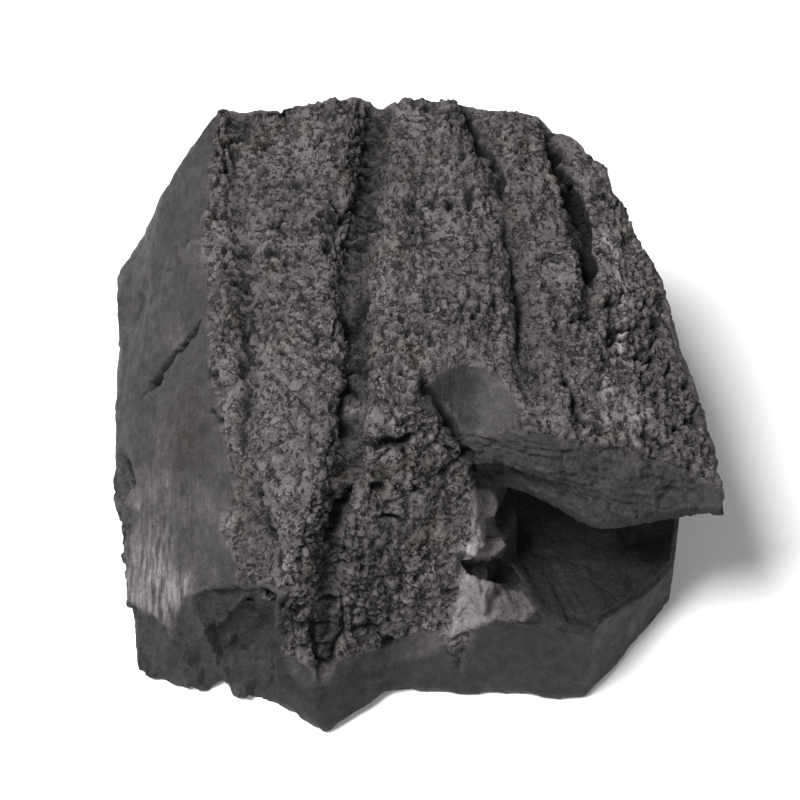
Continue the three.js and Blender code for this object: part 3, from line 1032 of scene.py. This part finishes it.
def charcoal_material(settings):
    """Charred wood: matt cracked char, satin split faces with fine fibres, dull broken ends. Cracks, pits and
    seams are painted dark as shade, and the grained facet's silvery fibres carry a painted sheen.
    """
    material = bpy.data.materials.new("charcoal")
    n = Nodes(material)
    place = n.add("ShaderNodeTexCoord").outputs["Object"]
    told = n.channels()
    char, split, grain, silver = (told[name] for name in ("char", "split", "grain", "silver"))

    sway = n.add("ShaderNodeTexNoise")
    n.feed(sway.inputs["Vector"], place)
    sway.inputs["Scale"].default_value = 160.0
    bent = n.add("ShaderNodeVectorMath", operation="MULTIPLY_ADD")
    n.feed(bent.inputs[0], sway.outputs["Color"])
    bent.inputs[1].default_value = (1.6 * MM,) * 3
    n.feed(bent.inputs[2], place)
    upright = n.noise(n.scaled(bent.outputs[0], (1250, 36, 1250)), 1.0, 3.0, 0.6)
    sloping = n.noise(n.scaled(bent.outputs[0], (1150, 90, 120)), 1.0, 4.0, 0.65)
    fibres = n.blend(grain, sloping, upright)
    broad_fibres = n.noise(n.scaled(place, (420, 16, 120)), 1.0, 3.0, 0.6)
    patches = n.noise(place, 60.0, 4.0, 0.6)
    tints = n.noise(place, 85.0, 2.0, 0.5)
    mottle = n.noise(place, 420.0, 5.0, 0.72)
    grit = n.noise(place, 1500.0, 3.0, 0.7)
    pocks = n.noise(n.scaled(place, (780, 560, 760)), 1.0, 3.0, 0.65)
    waves = n.noise(n.scaled(place, (330, 560, 400)), 1.0, 2.0, 0.5)
    seams = n.ramp(n.math("ABSOLUTE", n.math("SUBTRACT", waves, 0.5)), 0.006, 0.045)
    seams = n.math("SUBTRACT", 1.0, seams)
    seams = n.math("MULTIPLY", seams, n.ramp(n.noise(place, 350.0, 1.0, 0.5), 0.45, 0.56))

    smooth = n.math("ADD", n.math("ADD", split, grain), n.math("ADD", silver, told["lip"]), clamp=True)
    coarse = n.math("SUBTRACT", 1.0, smooth)
    tinted = n.math("MULTIPLY", char, n.ramp(tints, 0.55, 0.75))
    char_colour = n.mix(tinted, (*settings.char_colour, 1), (*settings.tint_colour, 1))
    lit = n.ramp(broad_fibres, 0.35, 0.7)
    split_colour = n.mix(lit, (*settings.split_colour, 1), (*settings.fibre_colour, 1))
    colour = n.mix(smooth, char_colour, split_colour)
    streaks = n.ramp(fibres, 0.34, 0.62)
    # Partly painted sheen: the grained facet's fibres get a bright silvery colour, their own grey lifted to
    # stand in for their sheen.
    colour = n.mix(n.math("MULTIPLY", silver, streaks), colour, (*settings.silver_sheen_colour, 1))
    colour = n.mix(n.math("MULTIPLY", told["dull"], 0.8), colour, (*settings.dull_colour, 1))
    # The light and tone channel is mostly painted light and shade; the patches, mottling and grit laid on it
    # are random tone.
    light = n.math("MULTIPLY", told["light_and_tone"], n.ramp(patches, 0.3, 0.7, 0.8, 1.18))
    light = n.math("MULTIPLY", light, n.ramp(mottle, 0.3, 0.7, 0.72, 1.28))
    light = n.math("MULTIPLY", light, n.ramp(grit, 0.3, 0.7, 0.8, 1.2))
    shade = n.add("ShaderNodeCombineColor")
    for socket in shade.inputs[:3]:
        n.feed(socket, light)
    colour = n.mix(1.0, colour, shade.outputs[0], "MULTIPLY")
    # Painted shade: the char's pits and fine seams and the cracks are darkened towards the crack shade
    # colour.
    pits = n.ramp(pocks, 0.47, 0.39)
    crack_and_pit_shade = n.math("MULTIPLY", n.math("MAXIMUM", pits, seams), n.math("MULTIPLY", char, 0.88))
    crack_and_pit_shade = n.math("MAXIMUM", crack_and_pit_shade, n.math("MULTIPLY", told["crack_shade"], 0.95))
    colour = n.mix(crack_and_pit_shade, colour, (*settings.crack_shade_colour, 1))

    rough = n.ramp(broad_fibres, 0.3, 0.7, 0.5, 0.68)
    rough = n.math("ADD", rough, n.math("MULTIPLY", coarse, 0.06))
    rough = n.math("ADD", rough, n.ramp(mottle, 0.3, 0.7, 0.08, -0.08))
    rough = n.math("ADD", rough, n.math("MULTIPLY", crack_and_pit_shade, 0.25), clamp=True)

    lined = n.math("ADD", n.math("ADD", n.math("MULTIPLY", silver, 0.42), n.math("MULTIPLY", split, 0.07)),
                   n.math("ADD", n.math("MULTIPLY", grain, 0.2), n.math("MULTIPLY", told["slab"], 0.1)))
    heights = n.math("MULTIPLY", fibres, lined)
    heights = n.math("ADD", heights, n.math("MULTIPLY", broad_fibres, n.math("MULTIPLY", smooth, 0.12)))
    mottled = n.math("ADD", n.math("MULTIPLY", coarse, 0.65), 0.3)
    heights = n.math("ADD", heights, n.math("MULTIPLY", mottle, mottled))
    heights = n.math("ADD", heights, n.math("MULTIPLY", grit, 0.17))
    heights = n.math("SUBTRACT", heights, n.math("MULTIPLY", seams, n.math("MULTIPLY", char, 0.3)))
    heights = n.math("ADD", heights, n.math("MULTIPLY", pocks, n.math("MULTIPLY", char, 0.6)))
    bump = n.add("ShaderNodeBump")
    bump.inputs["Strength"].default_value = 1.0
    bump.inputs["Distance"].default_value = MM
    n.feed(bump.inputs["Height"], heights)

    shader = n.add("ShaderNodeBsdfPrincipled")
    n.feed(shader.inputs["Base Color"], colour)
    n.feed(shader.inputs["Roughness"], rough)
    n.feed(shader.inputs["Normal"], bump.outputs["Normal"])
    shader.inputs["Specular IOR Level"].default_value = 0.2
    n.feed(n.add("ShaderNodeOutputMaterial").inputs["Surface"], shader.outputs[0])
    return material


def plain_material(name, colour, roughness):
    """One even colour, for the floor."""
    material = bpy.data.materials.new(name)
    n = Nodes(material)
    shader = n.add("ShaderNodeBsdfPrincipled")
    shader.inputs["Base Color"].default_value = (*colour, 1)
    shader.inputs["Roughness"].default_value = roughness
    shader.inputs["Specular IOR Level"].default_value = 0.1
    n.feed(n.add("ShaderNodeOutputMaterial").inputs["Surface"], shader.outputs[0])
    return material


# ---------------------------------------------------------------- settings, operators and panel

def colour_property(name, description, default):
    return FloatVectorProperty(
        name=name, description=description, subtype="COLOR", size=3, min=0, max=1, default=default)


def length_property(name, description, default):
    return FloatProperty(
        name=name, description=description, subtype="DISTANCE", unit="LENGTH", min=0, default=default)


class CharcoalLumpSettings(bpy.types.PropertyGroup):
    crack_pitch: length_property(
        "Crack pitch", "Usual distance between the fine cracks of the char", 1.75 * MM)
    crack_depth: length_property("Crack depth", "Depth of the fine cracks of the char", 0.7 * MM)
    ridge_height: length_property("Ridge height", "Height of the ridges that run along the grain", 1.5 * MM)
    voxel: length_property("Mesh step", "Spacing of the fine mesh before it is thinned", 0.42 * MM)
    triangles: IntProperty(
        name="Triangles", description="Most triangles that the finished lump has", min=1000, default=196000)
    char_colour: colour_property("Char", "Colour of the charred top", (0.096, 0.0865, 0.0885))
    tint_colour: colour_property(
        "Tint", "Colour of the faint olive patches in the char", (0.098, 0.0915, 0.0775))
    split_colour: colour_property("Split face", "Colour of the smooth split faces", (0.024, 0.0216, 0.022))
    fibre_colour: colour_property(
        "Fibres", "Colour of the paler fibres of the split faces", (0.038, 0.0343, 0.035))
    # Partly painted sheen: the grained facet's fibres, coloured much lighter than the other split faces.
    silver_sheen_colour: colour_property(
        "Silvery fibres", "Colour of the grained facet's fibres", (0.15, 0.1395, 0.1415))
    dull_colour: colour_property(
        "Dull patch", "Colour of the brownish patch on the flank", (0.026, 0.0225, 0.0206))
    # Painted shade: the colour that the cracks, pits and seams are darkened towards.
    crack_shade_colour: colour_property("Cracks", "Colour inside the cracks", (0.006, 0.0055, 0.0056))


class CharcoalStageSettings(bpy.types.PropertyGroup):
    floor_colour: colour_property("Floor", "Colour of the floor", (0.86, 0.86, 0.86))
    elevation: FloatProperty(
        name="Camera elevation", description="Angle of the view above the level", subtype="ANGLE",
        default=math.radians(50))
    lens: FloatProperty(
        name="Lens", description="Focal length of the camera in millimetres", min=1, default=85)
    share: FloatProperty(
        name="Share of the view", description="Share of the view's width that the lump takes up",
        subtype="FACTOR", min=0.1, max=1, default=0.76)


class OBJECT_OT_charcoal_lump(bpy.types.Operator):
    """Build the lump: its large shape, its notch, its relief and its finish"""
    bl_idname = "object.charcoal_lump"
    bl_label = "Charcoal lump"

    def execute(self, context):
        settings = context.scene.charcoal_lump
        lump = bpy.data.objects.new("lump", large_shape())
        context.scene.collection.objects.link(lump)
        weather(lump, settings)
        lump.data.materials.append(charcoal_material(settings))
        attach(lump, BODY)
        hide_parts(NODE)
        return {"FINISHED"}


class OBJECT_OT_charcoal_stage(bpy.types.Operator):
    """Build the stage: a pale floor, soft light and the camera"""
    bl_idname = "object.charcoal_stage"
    bl_label = "Stage"

    def execute(self, context):
        settings = context.scene.charcoal_stage
        middle = (CAD_LOW + CAD_HIGH) / 2
        width = CAD_HIGH.x - CAD_LOW.x
        self.floor(context, settings, width)
        for name, (at, size, power) in LIGHTS.items():
            self.light(context, name, at, size, power, middle)
        world = bpy.data.worlds.new("studio")
        world.use_nodes = True
        sky = world.node_tree.nodes["Background"]
        sky.inputs["Color"].default_value = (1, 1, 1, 1)
        sky.inputs["Strength"].default_value = SKY_STRENGTH
        context.scene.world = world
        context.scene.view_settings.view_transform = "Standard"
        self.camera(context, settings, middle, width)
        return {"FINISHED"}

    def floor(self, context, settings, width):
        reach = FLOOR_REACH * width
        below = CAD_LOW.z - FLOOR_GAP
        mesh = bpy.data.meshes.new("floor")
        corners = [(x * reach, y * reach, below) for x, y in ((-1, -1), (1, -1), (1, 1), (-1, 1))]
        mesh.from_pydata(corners, [], [(0, 1, 2, 3)])
        mesh.materials.append(plain_material("floor", settings.floor_colour, 0.9))
        floor = bpy.data.objects.new("floor", mesh)
        context.scene.collection.objects.link(floor)

    def light(self, context, name, at, size, power, middle):
        lamp = bpy.data.lights.new(name, "AREA")
        lamp.size = size
        lamp.energy = power
        light = bpy.data.objects.new(name, lamp)
        light.location = at
        light.rotation_euler = (middle - Vector(at)).to_track_quat("-Z", "Y").to_euler()
        context.scene.collection.objects.link(light)

    def camera(self, context, settings, middle, width):
        data = bpy.data.cameras.new("camera")
        data.lens = settings.lens
        distance = width / settings.share * settings.lens / data.sensor_width
        view = Vector((0, -math.cos(settings.elevation), math.sin(settings.elevation)))
        camera = bpy.data.objects.new("camera", data)
        camera.location = middle + distance * view
        camera.rotation_euler = (-view).to_track_quat("-Z", "Y").to_euler()
        context.scene.collection.objects.link(camera)
        context.scene.camera = camera


class VIEW3D_PT_charcoal(bpy.types.Panel):
    """Lists the settings and the steps"""
    bl_label = "Charcoal lump"
    bl_space_type = "VIEW_3D"
    bl_region_type = "UI"
    bl_category = "Charcoal"

    def draw(self, context):
        for group, operator in (
            (context.scene.charcoal_lump, OBJECT_OT_charcoal_lump),
            (context.scene.charcoal_stage, OBJECT_OT_charcoal_stage),
        ):
            box = self.layout.box()
            for name in group.__annotations__:
                box.prop(group, name)
            box.operator(operator.bl_idname)


CLASSES = (
    CharcoalLumpSettings,
    CharcoalStageSettings,
    OBJECT_OT_charcoal_lump,
    OBJECT_OT_charcoal_stage,
    VIEW3D_PT_charcoal,
)


def register():
    for cls in CLASSES:
        bpy.utils.register_class(cls)
    bpy.types.Scene.charcoal_lump = PointerProperty(type=CharcoalLumpSettings)
    bpy.types.Scene.charcoal_stage = PointerProperty(type=CharcoalStageSettings)


def unregister():
    del bpy.types.Scene.charcoal_stage
    del bpy.types.Scene.charcoal_lump
    for cls in reversed(CLASSES):
        bpy.utils.unregister_class(cls)


def main():
    register()
    bpy.ops.object.charcoal_lump()
    bpy.ops.object.charcoal_stage()


if __name__ == "__main__":
    main()
